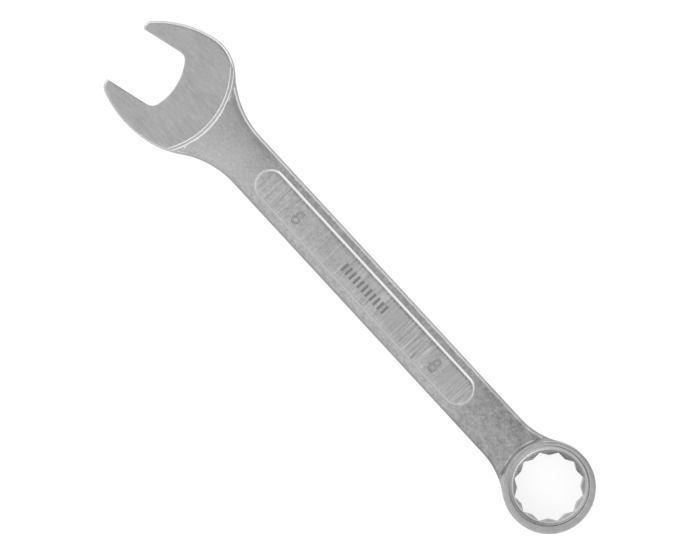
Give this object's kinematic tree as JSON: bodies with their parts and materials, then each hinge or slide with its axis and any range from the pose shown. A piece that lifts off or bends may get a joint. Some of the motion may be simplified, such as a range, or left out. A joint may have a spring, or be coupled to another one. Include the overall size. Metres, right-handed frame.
{
  "type": "combination wrench",
  "caption": "Small flat combination wrench with an angled open end, a twelve-point ring end and a crowned shank with a raised panel.",
  "frame": {"origin": "centre of the ring's hole, halfway through the ring's thickness", "axes": "+X along the shank to the open end, +Z out of the front face with the printed mark, +Y to the left; the open end leans 15 degrees from +X towards +Y"},
  "size_m": [0.0867, 0.0163, 0.0054],
  "materials": {
    "satin_chrome_steel": "satin chrome plate over a sand-blasted forging, with ground faces on the open end",
    "dark_ink": "matte printed ink"
  },
  "bodies": {
    "root": {"wrench_forging": "satin_chrome_steel", "printed_mark": "dark_ink"}
  },
  "joints": []
}
